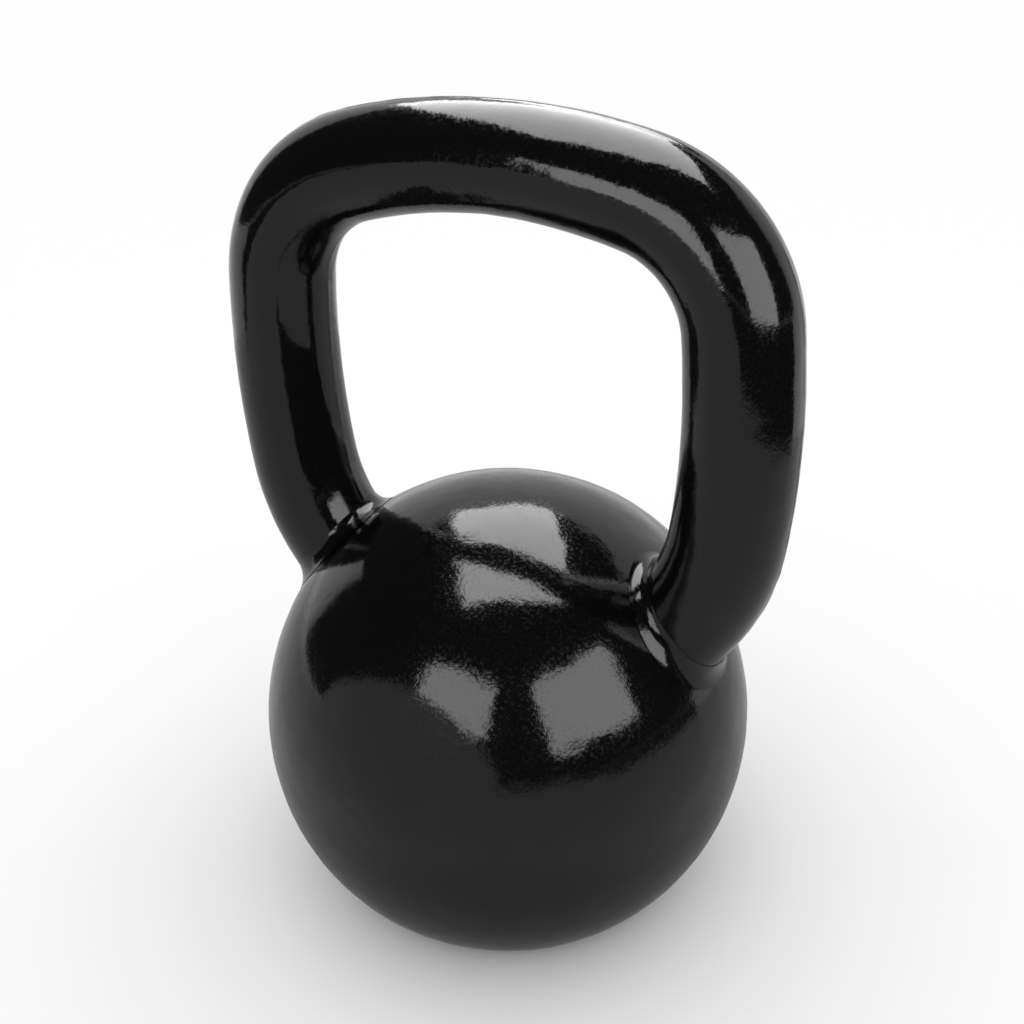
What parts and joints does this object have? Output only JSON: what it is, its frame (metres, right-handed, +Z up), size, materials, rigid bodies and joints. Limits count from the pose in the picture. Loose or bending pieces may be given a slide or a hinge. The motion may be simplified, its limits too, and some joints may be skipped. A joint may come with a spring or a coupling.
{
  "type": "kettlebell",
  "caption": "Round iron weight with a flat base and a bent round-bar handle whose horns are seated and welded in the ball, in gloss black enamel.",
  "frame": {"origin": "centre of the flat base, on the surface that the kettlebell stands on", "axes": "+Z up from the base to the grip, X along the grip from horn to horn, Y through the hand window"},
  "size_m": [0.1806, 0.158, 0.2513],
  "materials": {
    "enamelled_iron": "gloss",
    "enamelled_steel": "gloss",
    "enamelled_weld": "gloss",
    "resin_filler": "matte",
    "enamelled_plug": "satin"
  },
  "bodies": {
    "root": {"ball": "enamelled_iron", "handle": "enamelled_steel", "right_horn_weld": "enamelled_weld", "left_horn_weld": "enamelled_weld", "ballast": "resin_filler", "core_plug": "enamelled_plug"}
  },
  "joints": []
}
